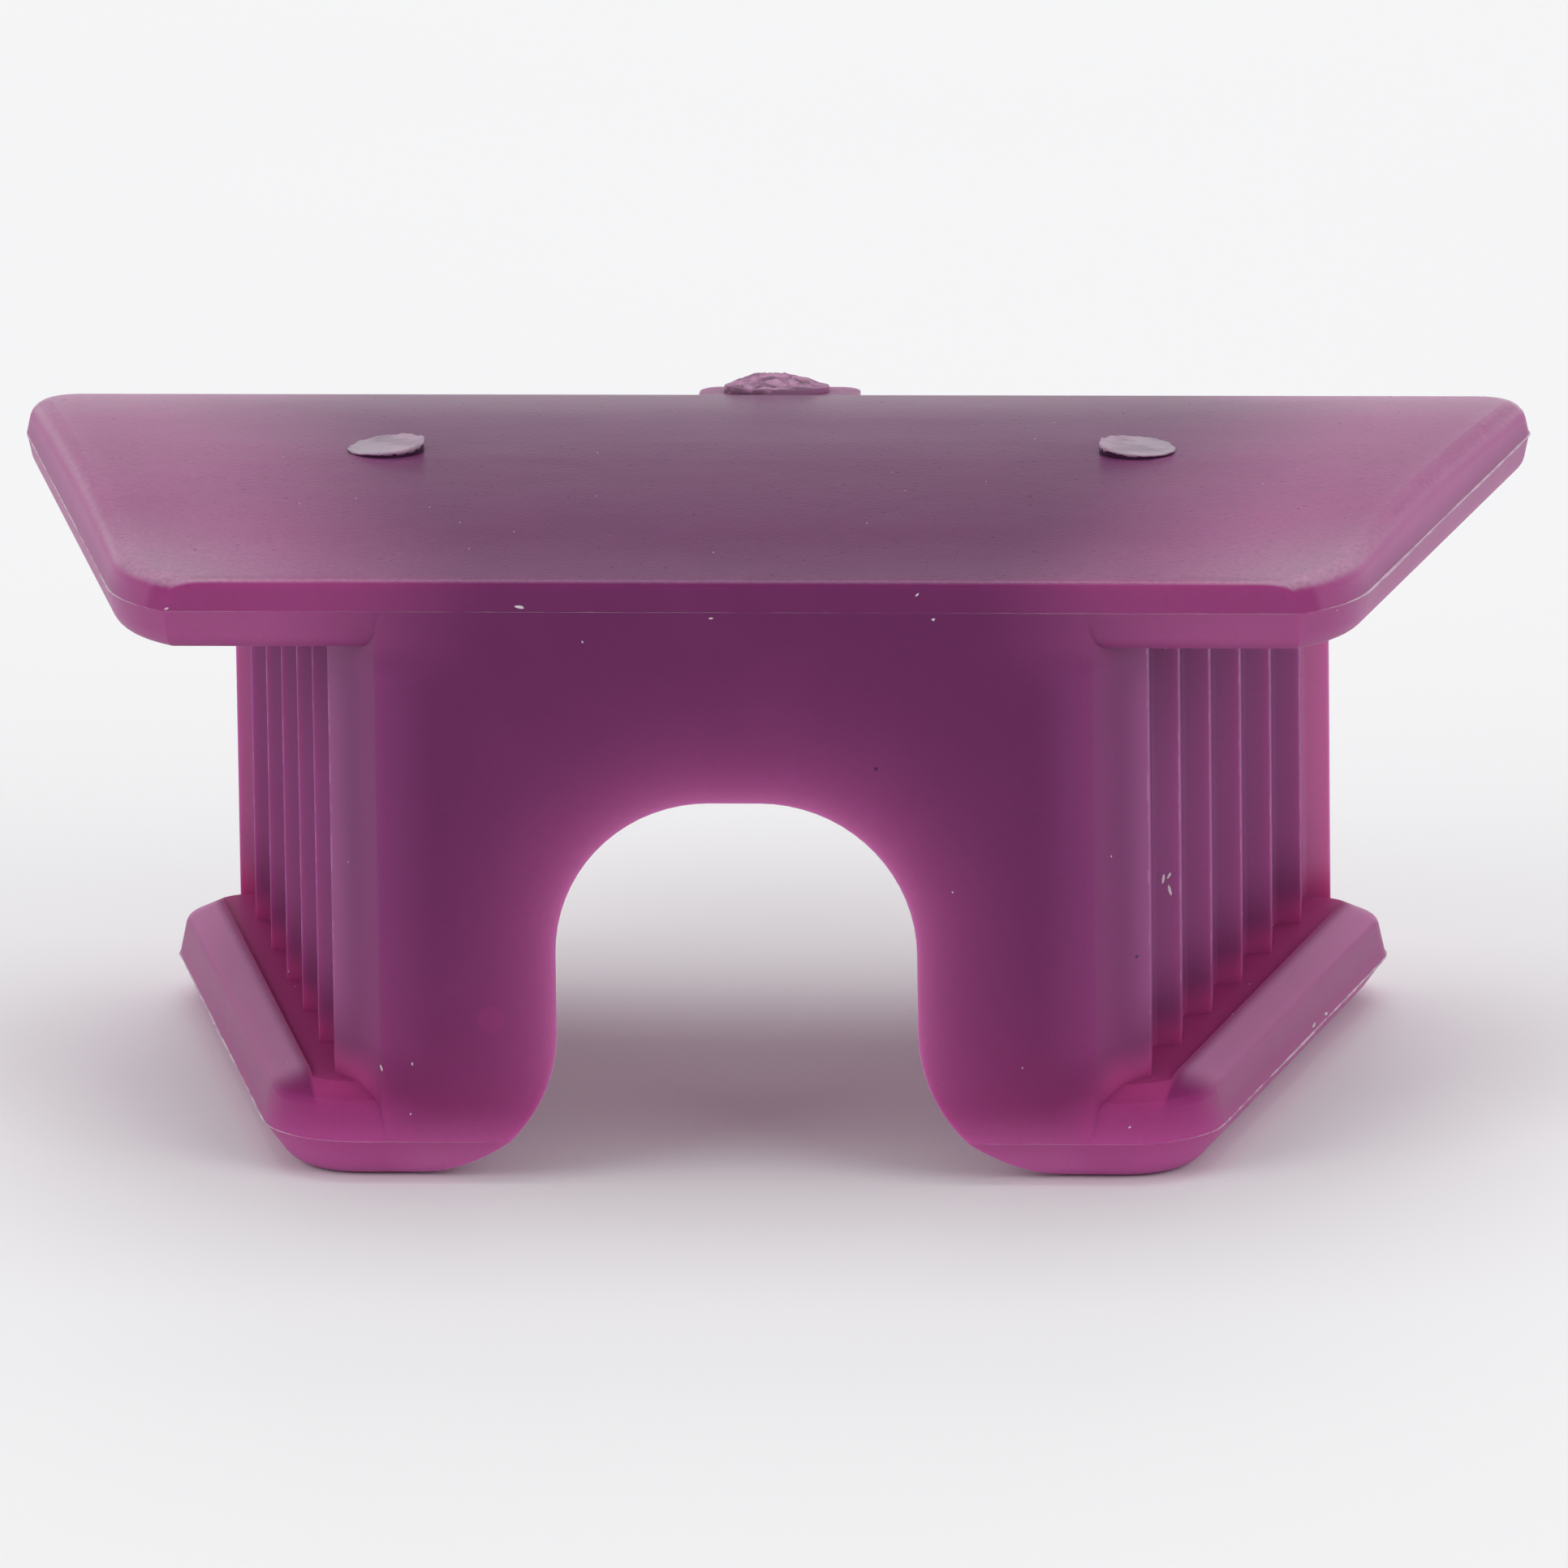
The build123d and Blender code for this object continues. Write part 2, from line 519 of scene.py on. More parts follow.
@dataclass(frozen=True)
class SiliconeFinish:
    """Translucent magenta silicone: dark where it is thick, pink where light comes through, a painted glow
    laid in its colour along with painted sheen, highlights, bounce light and shade.
    """

    sizes: BlockSizes
    deep: Colour = (0.130, 0.0145, 0.098)
    flange: Colour = (0.345, 0.075, 0.230)
    facet: Colour = (0.270, 0.032, 0.165)
    glow: Colour = (0.430, 0.080, 0.275)
    edge: Colour = (0.200, 0.034, 0.150)
    wall: Colour = (0.395, 0.130, 0.290)
    brink: Colour = (0.300, 0.085, 0.220)
    stub: Colour = (0.360, 0.170, 0.290)
    blush: Colour = (0.340, 0.024, 0.155)
    pink: Colour = (0.620, 0.155, 0.440)
    mound: Colour = (0.420, 0.050, 0.250)
    heel: Colour = (0.600, 0.195, 0.415)
    ridge: Colour = (0.320, 0.090, 0.260)
    # Lip and outer: lit and shaded copies of the foot colour, both painted light.
    lip: Colour = (0.530, 0.210, 0.405)
    outer: Colour = (0.325, 0.086, 0.225)
    valley: Colour = (0.425, 0.052, 0.215)
    # Painted shade for the crease at the inner foot of each lip.
    groove: Colour = (0.190, 0.012, 0.080)
    # Pale grey laid over the top: mostly painted sheen, with a little grey dust over all of it.
    bloom_and_sheen: Colour = (0.520, 0.440, 0.500)
    # Dark colour of the specks and of the painted shadow by the pads.
    speck_and_shadow: Colour = (0.030, 0.006, 0.030)
    specks: tuple[Spot, Spot] = ((4.20, 12.77, 0.07), (11.77, 6.62, 0.06))
    stain: Spot = (-7.31, 5.06, 0.55)
    cloud_mm: float = 5.0
    cloud_height: float = 0.05
    grain_mm: float = 0.16
    grain_height: float = 0.012
    # Pitch of the breaks in the painted crest highlight.
    glint_break_mm: float = 0.5
    roughness: float = 0.46

    def layers(self, tree: ShaderTree, zones: MouldingZones, m: Masks) -> list[Layer]:
        """Lists the colours over the deep one and the flange, from the lowest to the highest.

        Args:
            tree: The tree that gets the nodes.
            zones: Places on the moulding.
            m: Their masks by name.

        Returns:
            How much of each colour shows, and the colour.
        """
        first, second = (zones.spot(spot) for spot in self.specks)
        blush = m["blush"].high(zones.spot(self.stain) * 0.35)
        # Noise that breaks the painted crest highlight into short pieces.
        crest_glint_breaks = tree.noise(zones.point, self.glint_break_mm, 3.0).rise(0.48, 0.66)
        # Painted light on each foot's lip: a lit colour on its upward top, painted shade on its outward
        # wall.
        lip = tree.colour(Blend.MIX, m["outer"], self.lip, self.outer)
        return [
            # Painted shade: the plate's flat front facet darker than the top and the band below it.
            (m["facet"] * (m["flange"] * 0.72 + 0.08), self.facet),
            # Painted glow where light comes through the thin nose corners and the thin bite steps.
            (m["edge"] * 0.9, self.edge),
            (m["ridge"] * 0.8, self.ridge),
            # Painted glow: pinker towards the floor, where light comes through the thin feet; the small
            # pinkish stain shares this colour.
            (blush * 0.85, self.blush),
            # Painted glow by the arch, lightest right at its thin edge.
            (m["arch"] * 0.8, self.glow),
            (m["thin"] * 0.35, self.lip),
            # Painted glow on the plate's thin side walls, with less of it in a band just above the seam.
            (m["wall"] * 0.75, self.wall),
            (m["brink"] * 0.6, self.brink),
            # Painted glow: the feet lighter and pinker low down.
            (m["pink"] * 0.85, self.pink),
            (m["mound"] * 0.4, self.mound),
            # Painted glow at the heels, stronger on the right.
            (m["heel"] * 0.9, self.heel),
            # Painted highlight on the lip tops and painted shade on their outer walls.
            (m["lip"] * 0.9, lip),
            # Painted bounce light: the gutter floor lighter and redder, as light thrown back and forth in
            # the hollow.
            (m["valley"] * 0.85, self.valley),
            # Painted shade: a dark line in the crease at the inner foot of each lip.
            (m["groove"] * 0.25, self.groove),
            # Painted highlight: broken thin light lines along the crests of the bite steps.
            (m["crest"] * crest_glint_breaks * 0.4, self.lip),
            # Painted sheen on the level top, over a thin even layer of grey dust.
            (m["top"] * (m["painted_sheen"] * 0.26 + 0.04), self.bloom_and_sheen),
            # The gate stub is greyed like the top, so it is partly painted sheen.
            (m["stub"] * 0.85, self.stub),
            # Dark specks on the front, and painted shadow round the front of each pad.
            (first.high(second).high(zones.pad_shadow()) * 0.8, self.speck_and_shadow),
        ]

    def material(self) -> bpy.types.Material:
        """Builds the material.

        Returns:
            The silicone.
        """
        tree = ShaderTree(bpy.data.materials.new("silicone_moulding"))
        zones = MouldingZones(tree, self.sizes)
        masks = {**zones.plate(), **zones.body(), **zones.feet()}
        top = masks["top"]
        cloud = tree.noise(zones.point, self.cloud_mm)
        grain = tree.noise(zones.point, self.grain_mm, 3.0)
        drift = (cloud - 0.5) * 0.2
        # Painted glow: the thin flange turns lighter and pinker where light comes through it; the thick
        # middle stays deep.
        spread = (masks["flange"] * 0.95 + drift).clamp()
        colour = tree.colour(Blend.MIX, spread, self.deep, self.flange)
        for share, over in self.layers(tree, zones, masks):
            colour = tree.colour(Blend.MIX, share, colour, over)
        speckle = (grain.rise(0.25, 0.75) - 0.5) * (top * 0.2 + 0.05) + drift * 0.3 + 1.0
        colour = tree.colour(Blend.MULTIPLY, 1.0, colour, tree.grey(speckle))
        fine = (grain - 0.5) * self.grain_height * (top * 0.8 + 0.2)
        return tree.surface(
            {
                "Base Color": colour,
                "Roughness": self.roughness + (grain - 0.5) * 0.12 - top * 0.16,
                "IOR": SILICONE_IOR,
                "Specular IOR Level": 0.3,
                "Coat Weight": top * 0.3,
                "Coat Roughness": 0.26,
                "Coat IOR": 1.4,
                "Subsurface Weight": 0.5,
                "Subsurface Radius": SILICONE_SCATTER,
                "Subsurface Scale": 1.4 * MM,
                "Normal": tree.bump(fine + (cloud - 0.5) * self.cloud_height),
            }
        )


@dataclass(frozen=True)
class FilmFinish:
    """Shiny skin where the mould's pins and the torn runner left the silicone smooth."""

    name: str
    base: Colour
    shade: float
    roughness: float
    ripple_height: float
    ripple_mm: float = 0.45
    patch_mm: float = 0.8
    stretch: float = 1.0

    def material(self) -> bpy.types.Material:
        """Builds the material.

        Returns:
            The shiny skin.
        """
        tree = ShaderTree(bpy.data.materials.new(self.name))
        point, _, _, _ = tree.place()
        ripple = tree.noise(point, self.ripple_mm, 3.0)
        patch = tree.noise(tree.stretched(point, self.stretch), self.patch_mm)
        dark = tuple(c * self.shade for c in self.base)
        colour = tree.colour(Blend.MIX, patch.rise(0.36, 0.6), dark, self.base)
        return tree.surface(
            {
                "Base Color": colour,
                "Roughness": self.roughness + ripple.rise(0.4, 0.8) * 0.15,
                "IOR": SILICONE_IOR,
                "Subsurface Weight": 0.3,
                "Subsurface Radius": SILICONE_SCATTER,
                "Subsurface Scale": 0.6 * MM,
                "Normal": tree.bump((ripple - 0.5) * self.ripple_height),
            }
        )


# The seam beads' pale colour is partly the thin silicone's own and partly painted highlight; the patch
# noise breaks the highlight into bright and dim stretches.
PLATE_SEAM = FilmFinish("plate_seam", (0.70, 0.46, 0.60), shade=0.75, roughness=0.4, ripple_height=0.01)
FOOT_SEAM = FilmFinish("foot_seam", (0.72, 0.48, 0.61), shade=0.65, roughness=0.4, ripple_height=0.01)
# The pad skin's pale colour is partly painted reflection of the glossy pads.
PAD_SKIN = FilmFinish("pad_skin", (0.455, 0.330, 0.42), shade=0.75, roughness=0.3, ripple_height=0.02)
TORN_SILICONE = FilmFinish(
    "torn_silicone",
    (0.42, 0.22, 0.35),
    shade=0.4,
    roughness=0.16,
    ripple_height=0.07,
    patch_mm=0.3,
    stretch=3.5,
)


@dataclass(frozen=True)
class LintFinish:
    """Pale dust that clings to the silicone."""

    base: Colour = (0.72, 0.60, 0.67)
    shade: float = 0.75
    fleck_mm: float = 0.1

    def material(self) -> bpy.types.Material:
        """Builds the material.

        Returns:
            The dust.
        """
        tree = ShaderTree(bpy.data.materials.new("lint"))
        point, _, _, _ = tree.place()
        fleck = tree.noise(point, self.fleck_mm)
        dull = tuple(c * self.shade for c in self.base)
        colour = tree.colour(Blend.MIX, fleck, dull, self.base)
        return tree.surface({"Base Color": colour, "Roughness": fleck * 0.3 + 0.5})


@dataclass(frozen=True)
class FloorFinish:
    """Pale matt studio floor."""

    base: Colour = (0.86, 0.86, 0.87)
    shade: float = 0.985
    cloud_mm: float = 60.0

    def material(self) -> bpy.types.Material:
        """Builds the material.

        Returns:
            The floor.
        """
        tree = ShaderTree(bpy.data.materials.new("studio_floor"))
        point, _, _, _ = tree.place()
        cloud = tree.noise(point, self.cloud_mm)
        dim = tuple(c * self.shade for c in self.base)
        colour = tree.colour(Blend.MIX, cloud, dim, self.base)
        roughness = cloud * 0.1 + 0.75
        return tree.surface({"Base Color": colour, "Roughness": roughness, "Specular IOR Level": 0.2})


def add_piece(name: str, mesh: bmesh.types.BMesh, material: bpy.types.Material) -> None:
    """Makes a smooth piece that rides with the block.

    Args:
        name: The piece's name.
        mesh: Its mesh in metres, which is freed.
        material: Its finish.
    """
    bmesh.ops.recalc_face_normals(mesh, faces=mesh.faces)
    data = bpy.data.meshes.new(name)
    mesh.to_mesh(data)
    mesh.free()
    data.polygons.foreach_set("use_smooth", [True] * len(data.polygons))
    data.materials.append(material)
    piece = bpy.data.objects.new(name, data)
    bpy.context.scene.collection.objects.link(piece)
    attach(piece, BODY)
    LOG.info("%s: %d faces", name, len(data.polygons))


def skin(mesh: bmesh.types.BMesh, levels: list[list[bmesh.types.BMVert]], top: Vector, low: Vector) -> None:
    """Closes rings of points into a lens.

    Args:
        mesh: The mesh that holds the rings.
        levels: Rings of equal count, from the inner top ring to the skirt.
        top: Middle of the upper face, in metres.
        low: Middle of the under face, in metres.
    """
    crown, floor = mesh.verts.new(top), mesh.verts.new(low)
    count = len(levels[0])
    for k in range(count):
        n = (k + 1) % count
        mesh.faces.new((crown, levels[0][k], levels[0][n]))
        mesh.faces.new((floor, levels[-1][n], levels[-1][k]))
        for a, b in zip(levels, levels[1:]):
            mesh.faces.new((a[k], b[k], b[n], a[n]))


@dataclass
class PartingFlash:
    """Thin bead of silicone squeezed out along a parting line of the mould."""

    sizes: BlockSizes
    step: float = 0.25
    arc_steps: int = 14
    half_height: float = 0.04
    reach: float = 0.045
    least_reach: float = 0.004
    sunk: float = 0.04
    wander: float = 0.012
    thin: float = 0.3
    thick: float = 1.5
    growth: float = 0.6
    run_out: float = 1.2

    def outline(self, half: float, start: float, front_radius: float, back_radius: float) -> list[Vector]:
        """Rounded trapezoid that opens with the bite faces.

        Args:
            half: Half width at the front.
            start: Y where the trapezoid starts.
            front_radius: Radius of the front corners.
            back_radius: Radius of the back corners.

        Returns:
            Points of the closed outline, anticlockwise, in millimetres.
        """
        s = self.sizes
        near, far = s.widen(half, start), s.widen(half, s.back)
        corners = [
            (Vector((-near, start)), front_radius),
            (Vector((near, start)), front_radius),
            (Vector((far, s.back)), back_radius),
            (Vector((-far, s.back)), back_radius),
        ]
        points: list[Vector] = []
        for i, (corner, radius) in enumerate(corners):
            before = (corners[i - 1][0] - corner).normalized()
            after = (corners[(i + 1) % 4][0] - corner).normalized()
            half_angle = before.angle(after) / 2
            centre = corner + (before + after).normalized() * (radius / math.sin(half_angle))
            begin = corner + before * (radius / math.tan(half_angle)) - centre
            turn = math.pi - 2 * half_angle
            for k in range(self.arc_steps + 1):
                points.append(centre + Matrix.Rotation(turn * k / self.arc_steps, 2) @ begin)
        return points

    def spaced(self, points: list[Vector], closed: bool) -> list[Vector]:
        """Adds points so that no two are further apart than the step.

        Args:
            points: Corner points.
            closed: Whether the last joins the first.

        Returns:
            The denser line.
        """
        ends = points[1:] + points[:1] if closed else points[1:]
        dense: list[Vector] = []
        for a, b in zip(points, ends):
            count = max(1, math.ceil((b - a).length / self.step))
            dense += [a.lerp(b, k / count) for k in range(count)]
        return dense if closed else dense + points[-1:]

    def profile(self, point: Vector, z: float, to_end: float) -> list[tuple[float, float]]:
        """Section of the bead, thin at the front and thicker along the side.

        Args:
            point: Place in plan.
            z: Height of the parting line.
            to_end: Distance to the nearer end of the line.

        Returns:
            Reach and rise of the section's three corners.
        """
        place = Vector((point.x, point.y, z))
        rough = noise.fractal(place * 1.3, 1.0, 2.0, 3)
        patch = noise.noise(place * 0.21)
        side = min(self.thick, max(self.thin, (point.y - self.sizes.front) * self.growth))
        fade = min(1.0, to_end / self.run_out) * side
        tip = max(self.least_reach, self.reach * (0.6 + 0.6 * rough + 0.8 * patch)) * fade
        tall = self.half_height * min(1.3, side + 0.1)
        return [(-self.sunk, -tall), (tip, self.wander * rough), (-self.sunk, tall)]

    def bead(
        self, name: str, line: list[Vector], z: float, closed: bool, material: bpy.types.Material
    ) -> None:
        """Sweeps the bead along a line.

        Args:
            name: The piece's name.
            line: Points in plan, with the block on the left.
            z: Height of the parting line.
            closed: Whether the line is a loop.
            material: Its finish.
        """
        mesh = bmesh.new()
        rings = []
        last = len(line) - 1
        for i, point in enumerate(line):
            ahead = line[(i + 1) % len(line)] if closed else line[min(i + 1, last)]
            behind = line[i - 1] if closed else line[max(i - 1, 0)]
            along = (ahead - behind).normalized()
            out = Vector((along.y, -along.x))
            to_end = self.run_out if closed else min(i, last - i) * self.step
            ring = []
            for reach, rise in self.profile(point, z, to_end):
                place = point + out * reach
                ring.append(mesh.verts.new(Vector((place.x, place.y, z + rise)) * MM))
            rings.append(ring)
        pairs = zip(rings, rings[1:] + rings[:1]) if closed else zip(rings, rings[1:])
        for a, b in pairs:
            for k in range(3):
                mesh.faces.new((a[k], b[k], b[(k + 1) % 3], a[(k + 1) % 3]))
        if not closed:
            mesh.faces.new(rings[0])
            mesh.faces.new(reversed(rings[-1]))
        add_piece(name, mesh, material)

    def build(self, seam: bpy.types.Material, flash: bpy.types.Material) -> None:
        """Builds the bead round the plate and the bead round each foot.

        Args:
            seam: Finish of the bead round the plate.
            flash: Finish of the beads round the feet.
        """
        s = self.sizes
        plate = self.outline(
            s.bite_half + s.plate_overhang,
            s.front - s.plate_nose_cut,
            s.plate_corner_front,
            s.plate_corner_back,
        )
        plate = [Vector((p.x, max(p.y, s.front))) for p in plate]
        self.bead("plate_flash", self.spaced(plate, True), s.plate_parting, True, seam)
        foot = self.outline(
            s.bite_half + s.foot_overhang, s.front, s.foot_corner_front, s.foot_corner_back
        )
        drop = s.leg_flare - s.foot_parting
        inner = s.arch_width / 2 + s.leg_flare - math.sqrt(s.leg_flare**2 - drop**2)
        front_end = Vector((inner, s.front))
        back_end = Vector((s.widen(inner, s.back), s.back))
        right = [front_end, *(p for p in foot if p.x > 0), back_end]
        for side in Side:
            line = right if side is Side.RIGHT else [Vector((-p.x, p.y)) for p in reversed(right)]
            name = f"foot_flash_{side.name.lower()}"
            self.bead(name, self.spaced(line, False), s.foot_parting, False, flash)


@dataclass
class GateTear:
    """Torn end of the runner on the stub at the middle of the plate's back edge."""

    sizes: BlockSizes
    rings: int = 22
    spokes: int = 72
    lift: float = 0.3
    shift: float = -0.16
    skirt: float = 0.25
    proud: float = 0.01
    overhang: float = 0.04
    ragged: float = 0.09
    slit_width: float = 0.16
    slit_depth: float = 0.5

    def height(self, u: float, v: float) -> float:
        """Height of the torn crust above the stub: a rim at the back, a ripped slope to the front.

        Args:
            u: Place across the stub, from -1 to 1.
            v: Place along the stub, from -1 at the front to 1.

        Returns:
            Height in millimetres.
        """
        ragged = noise.fractal(Vector((u * 2.6 + 3.1, v * 1.9 - 1.4, 0.6)), 0.9, 2.1, 4)
        fold = abs(noise.noise(Vector((u * 2.1 + 0.4, v * 2.7, 4.2))))
        slope = min(1.0, max(0.0, (v + 0.75) / 1.25))
        arch = max(0.0, 1.0 - abs(u + 0.08) ** 2.2)
        body = self.lift * arch * (0.25 + 0.75 * slope * slope * (3 - 2 * slope))
        slit = self.slit_depth * max(0.0, self.slit_width - fold) * arch
        return max(0.0, body + self.ragged * ragged - slit)

    def build(self, material: bpy.types.Material) -> None:
        """Builds the crust as a closed lens with a ragged top.

        Args:
            material: Its finish.
        """
        s = self.sizes
        half_x, half_y = s.stub_width / 2 + self.overhang, s.stub_depth / 2
        base = s.stub_top + self.proud
        middle = Vector((self.shift, s.back + s.gate_reach - half_y))
        mesh = bmesh.new()
        levels = []
        for i in range(1, self.rings + 1):
            share = i / self.rings
            ring = []
            for k in range(self.spokes):
                angle = math.tau * k / self.spokes
                wander = 1 + 0.05 * noise.noise(Vector((math.cos(angle) * 2, math.sin(angle) * 2, 7.7)))
                u, v = math.cos(angle) * share, math.sin(angle) * share
                edge = 1 - share**10
                x, y = middle.x + u * half_x * wander, middle.y + v * half_y * min(1.0, wander)
                z = base + self.height(u, v) * edge
                ring.append(mesh.verts.new(Vector((x, y, z)) * MM))
            levels.append(ring)
        down = Vector((0, 0, self.skirt * MM))
        levels.append([mesh.verts.new(vert.co - down) for vert in levels[-1]])
        top = Vector((middle.x, middle.y, base + self.height(0.0, 0.0))) * MM
        low = Vector((middle.x, middle.y, s.stub_top - self.skirt)) * MM
        skin(mesh, levels, top, low)
        add_piece("gate_tear", mesh, material)


@dataclass
class PadFilm:
    """Glossy skin with a lifted rim on each ejector pad, leaning outwards with it."""

    sizes: BlockSizes
    rings: int = 14
    spokes: int = 90
    rim: float = 0.04
    lift: float = 0.02
    overhang: float = 0.02
    skirt: float = 0.05
    tuck: float = 0.015
    lean_left: float = 6.6
    lean_right: float = 5.4

    def build(self, material: bpy.types.Material) -> None:
        """Builds the skins of both pads.

        Args:
            material: Their finish.
        """
        self.film(Side.LEFT, self.lean_left, material)
        self.film(Side.RIGHT, self.lean_right, material)

    def film(self, side: Side, lean: float, material: bpy.types.Material) -> None:
        """Builds the skin of one pad.

        Args:
            side: Which pad.
            lean: How far it leans outwards, in degrees.
            material: Its finish.
        """
        s = self.sizes
        middle = Vector((side.value * s.pad_spacing / 2, s.back - s.pad_from_back))
        radius = s.pad_diameter / 2 + self.overhang
        slope = math.tan(math.radians(lean))
        mesh = bmesh.new()
        levels = []
        for i in range(1, self.rings + 1):
            share = i / self.rings
            ring = []
            for k in range(self.spokes):
                angle = math.tau * k / self.spokes
                around = Vector((math.cos(angle), math.sin(angle)))
                seed = Vector((around.x * 3.8, around.y * 3.8, 2.0 + side.value))
                ragged = noise.fractal(seed, 1.0, 2.0, 3)
                place = middle + around * radius * share * (1 + 0.03 * ragged)
                drop = slope * (abs(place.x) - s.pad_spacing / 2)
                z = s.pad_top + self.lift - drop + max(0.0, self.rim * share**8 * (0.6 + ragged))
                ring.append(mesh.verts.new(Vector((place.x, place.y, z)) * MM))
            levels.append(ring)
        down = Vector((0, 0, self.skirt * MM))
        top = Vector((middle.x, middle.y, s.pad_top + self.lift)) * MM
        low = (s.pad_top - self.skirt) * MM
        foot: list[bmesh.types.BMVert] = []
        for vert in levels[-1]:
            under = vert.co.lerp(top, self.tuck) - down
            under.z = min(under.z, low)
            foot.append(mesh.verts.new(under))
        levels.append(foot)
        skin(mesh, levels, top, top - down)
        add_piece(f"pad_film_{side.name.lower()}", mesh, material)


@dataclass(frozen=True)
class ViewPoint:
    """The photograph's point of view."""

    elevation: float = 14.66
    azimuth: float = 3.6
    roll: float = 0.748
    pixels_per_mm: float = 41.025
    aim_pixel: tuple[float, float] = (937.1, 948.2)
    aim_height: float = 9.5
    distance: float = 700.0

    def axes(self) -> tuple[Vector, Vector, Vector]:
        """Right, up and forward of the picture.

        Returns:
            The three unit vectors.
        """
        el, az, roll = (math.radians(a) for a in (self.elevation, self.azimuth, self.roll))
        right = Vector((math.cos(az), math.sin(az), 0))
        ahead = Vector((-math.sin(az) * math.cos(el), math.cos(az) * math.cos(el), -math.sin(el)))
        up = right.cross(ahead)
        turned = right * math.cos(roll) - up * math.sin(roll)
        return turned, right * math.sin(roll) + up * math.cos(roll), ahead

    def matrix(self) -> Matrix:
        """The camera's place and turn in metres.

        Returns:
            The world matrix.
        """
        right, up, ahead = self.axes()
        off_x = (IMAGE_SIDE / 2 - self.aim_pixel[0]) / self.pixels_per_mm
        off_y = (self.aim_pixel[1] - IMAGE_SIDE / 2) / self.pixels_per_mm
        eye = Vector((0, 0, self.aim_height)) - ahead * self.distance + right * off_x + up * off_y
        turn = Matrix((right, up, -ahead)).transposed().to_4x4()
        return Matrix.Translation(eye * MM) @ turn

    def ray(self, pixel: tuple[float, float]) -> tuple[Vector, Vector]:
        """The line of sight through a pixel of the picture.

        Args:
            pixel: Place in the picture, from its top left corner.

        Returns:
            The eye in metres, and the direction.
        """
        right, up, ahead = self.axes()
        focal = self.pixels_per_mm * self.distance
        across, down = (p - IMAGE_SIDE / 2 for p in pixel)
        return self.matrix().translation, (ahead * focal + right * across - up * down).normalized()

    def camera(self) -> None:
        """Makes the scene's camera."""
        data = bpy.data.cameras.new("photo_camera")
        data.sensor_width = SENSOR_MM
        data.lens = SENSOR_MM * self.pixels_per_mm * self.distance / IMAGE_SIDE
        data.clip_start, data.clip_end = 0.01, 20.0
        camera = bpy.data.objects.new("photo_camera", data)
        camera.matrix_world = self.matrix()
        bpy.context.scene.collection.objects.link(camera)
        bpy.context.scene.camera = camera


@dataclass
class LintFlecks:
    """Dust and slivers that cling to the block, some where the photograph shows them."""

    view: ViewPoint
    node: bpy.types.Object
    scattered: int = 110
    seed: int = 11
    shortest: float = 0.03
    longest: float = 0.08
    narrow: float = 0.025
    wide: float = 0.05
    half_thickness: float = 0.016
    seen: tuple[tuple[float, float, float, float], ...] = (
        (1433, 1083, 0.30, 80),
        (1440, 1079, 0.22, 60),
        (1441, 1097, 0.34, 105),
        (640, 748, 0.30, 170),
        (205, 750, 0.15, 20),
        (1130, 733, 0.14, 40),
        (876, 762, 0.14, 0),
        (1150, 763, 0.12, 10),
        (470, 1316, 0.20, 120),
        (508, 1311, 0.10, 90),
        (1392, 1389, 0.10, 30),
        (1619, 1263, 0.40, 6),
        (1634, 1249, 0.34, -6),
    )

    def fleck(
        self, mesh: bmesh.types.BMesh, place: Vector, normal: Vector, length: float, turn: float
    ) -> None:
        """Adds one flattened sliver.

        Args:
            mesh: The mesh that gets it.
            place: Where it lies, in metres.
            normal: Direction away from the surface.
            length: Its length in millimetres.
            turn: Its angle on the surface, in degrees.
        """
        rest = normal.to_track_quat("Z", "Y").to_matrix().to_4x4()
        spin = Matrix.Rotation(math.radians(turn), 4, "Z")
        half_width = min(self.wide, max(self.narrow, length * 0.2))
        size = Vector((length / 2, half_width, self.half_thickness)) * MM
        scale = Matrix.Diagonal((*size, 1.0))
        made = bmesh.ops.create_icosphere(mesh, subdivisions=2, radius=1.0)
        for vert in made["verts"]:
            lump = 1 + 0.3 * noise.noise(vert.co * 1.7 + place / MM)
            vert.co = Matrix.Translation(place) @ rest @ spin @ scale @ (vert.co * lump)

    def build(self, material: bpy.types.Material) -> None:
        """Builds all flecks as one piece.

        Args:
            material: Their finish.
        """
        data = self.node.data
        tree = BVHTree.FromPolygons([v.co for v in data.vertices], [p.vertices for p in data.polygons])
        mesh = bmesh.new()
        for x, y, length, turn in self.seen:
            place, normal, _, _ = tree.ray_cast(*self.view.ray((x, y)))
            if place is not None:
                self.fleck(mesh, place, normal, length, turn)
        draw = random.Random(self.seed)
        chosen = draw.choices(data.polygons, weights=[p.area for p in data.polygons], k=self.scattered)
        for face in chosen:
            a, b, c = (data.vertices[i].co for i in face.vertices[:3])
            u, v = sorted((draw.random(), draw.random()))
            place = a * u + b * (v - u) + c * (1 - v)
            length = draw.uniform(self.shortest, self.longest)
            self.fleck(mesh, place, face.normal, length, draw.uniform(0, 180))
        add_piece("lint_flecks", mesh, material)


@dataclass(frozen=True)
class Lamp:
    """A soft square lamp that looks at the block."""

    name: str
    place: tuple[float, float, float]
    side: float
    power: float
    shines: bool = False
    target: tuple[float, float, float] = (0.0, 0.0, 0.01)

    def hang(self) -> None:
        """Adds the lamp; one that doesn't shine stays out of glossy surfaces."""
        data = bpy.data.lights.new(self.name, "AREA")
        data.shape, data.size, data.energy = "SQUARE", self.side, self.power
        lamp = bpy.data.objects.new(self.name, data)
        place = Vector(self.place)
        lamp.location = place
        lamp.visible_glossy = self.shines
        lamp.rotation_mode = "QUATERNION"
        lamp.rotation_quaternion = (Vector(self.target) - place).to_track_quat("-Z", "Y")
        bpy.context.scene.collection.objects.link(lamp)


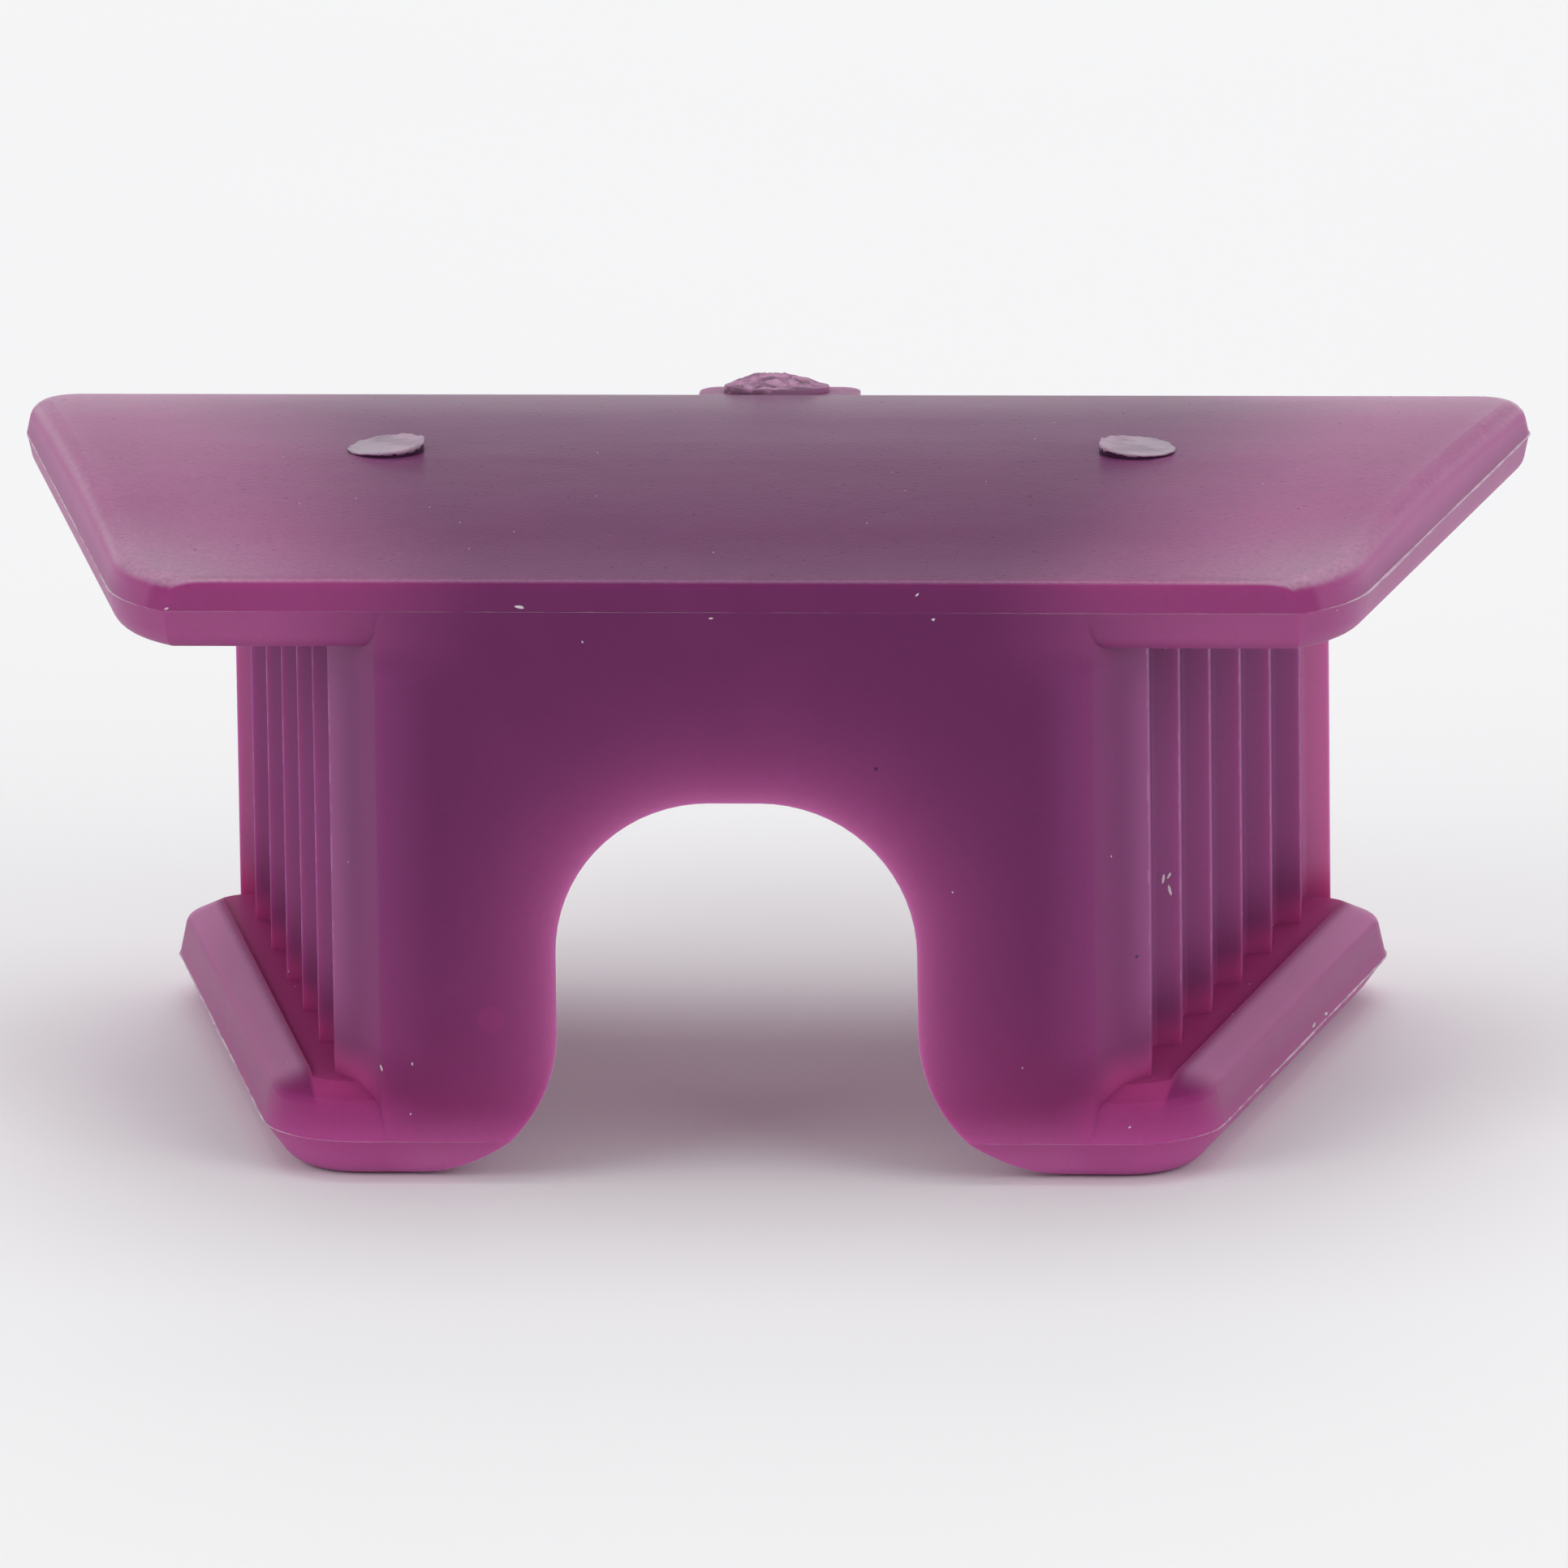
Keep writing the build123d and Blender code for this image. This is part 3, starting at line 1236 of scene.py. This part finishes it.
@dataclass
class Studio:
    """Pale floor, soft lamps, surroundings and camera."""

    view: ViewPoint
    floor_half: float = 3.0
    ambient: float = 0.5
    horizon: Colour = (0.95, 0.95, 0.96)
    sky: Colour = (0.14, 0.14, 0.15)
    lamps: tuple[Lamp, ...] = (
        Lamp("softbox_above", (0.0, 0.10, 0.55), side=0.5, power=1.15, shines=True),
        Lamp("fill_left", (-0.45, -0.35, 0.30), side=0.35, power=1.0),
        Lamp("fill_right", (0.45, -0.35, 0.30), side=0.35, power=1.0),
        Lamp("fill_back", (0.0, 0.55, 0.30), side=0.35, power=0.8),
    )

    def floor(self) -> None:
        """Lays the floor under the feet."""
        mesh = bmesh.new()
        bmesh.ops.create_grid(mesh, x_segments=8, y_segments=8, size=self.floor_half)
        data = bpy.data.meshes.new("studio_floor")
        mesh.to_mesh(data)
        mesh.free()
        data.materials.append(FloorFinish().material())
        floor = bpy.data.objects.new("studio_floor", data)
        bpy.context.scene.collection.objects.link(floor)
        floor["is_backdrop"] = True

    def world(self) -> None:
        """Surrounds the scene with soft ambient light and a backdrop that is palest at the horizon."""
        world = bpy.data.worlds.new("studio")
        bpy.context.scene.world = world
        tree = ShaderTree(world)
        paths = tree.node("ShaderNodeLightPath", {}, {})
        rays = ("Is Camera Ray", "Is Glossy Ray", "Is Transmission Ray")
        camera, glossy, through = (Value(tree, paths.outputs[name]) for name in rays)
        towards = tree.node("ShaderNodeTexCoord", {}, {}).outputs["Generated"]
        up = tree.value("ShaderNodeSeparateXYZ", {}, {0: towards}, "Z")
        shown = tree.colour(Blend.MIX, up.rise(0.06, 0.25), self.horizon, self.sky)
        white = (1.0, 1.0, 1.0, 1.0)
        light = tree.node("ShaderNodeBackground", {}, {"Color": white, "Strength": self.ambient})
        backdrop = tree.node("ShaderNodeBackground", {}, {"Color": shown, "Strength": 1.0})
        seen = camera.high(glossy).high(through)
        sockets = {0: seen, 1: light.outputs[0], 2: backdrop.outputs[0]}
        both = tree.node("ShaderNodeMixShader", {}, sockets)
        tree.node("ShaderNodeOutputWorld", {}, {"Surface": both.outputs[0]})

    def build(self) -> None:
        """Builds everything and sets the plain view transform."""
        self.floor()
        self.world()
        for lamp in self.lamps:
            lamp.hang()
        self.view.camera()
        bpy.context.scene.view_settings.view_transform = "Standard"


@dataclass
class BiteBlock:
    """The moulding with all that clings to it."""

    node: bpy.types.Object
    view: ViewPoint
    sizes: BlockSizes = field(default_factory=BlockSizes)

    def dress(self) -> None:
        """Gives the solid its finish."""
        self.node.data.materials.clear()
        self.node.data.materials.append(SiliconeFinish(self.sizes).material())
        LOG.info("%s: %d faces", NODE, len(self.node.data.polygons))

    def trim(self) -> None:
        """Adds flash, torn gate, pad skins and dust."""
        PartingFlash(self.sizes).build(PLATE_SEAM.material(), FOOT_SEAM.material())
        GateTear(self.sizes).build(TORN_SILICONE.material())
        PadFilm(self.sizes).build(PAD_SKIN.material())
        LintFlecks(self.view, self.node).build(LintFinish().material())


def corners(box: Iterable[Vector]) -> list[list[float]]:
    """A box's lowest and highest corners as plain lists."""
    return [list(corner) for corner in box]


def main(cad_box: list[list[float]]) -> None:
    """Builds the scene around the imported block.

    Args:
        cad_box: The solid's box before anything is added.
    """
    logging.basicConfig(level=logging.INFO, format="%(name)s %(message)s")
    view = ViewPoint()
    block = BiteBlock(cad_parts[NODE], view)
    block.dress()
    block.trim()
    Studio(view).build()
    bpy.context.view_layer.update()


if __name__ == "__main__":
    main(corners(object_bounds()))
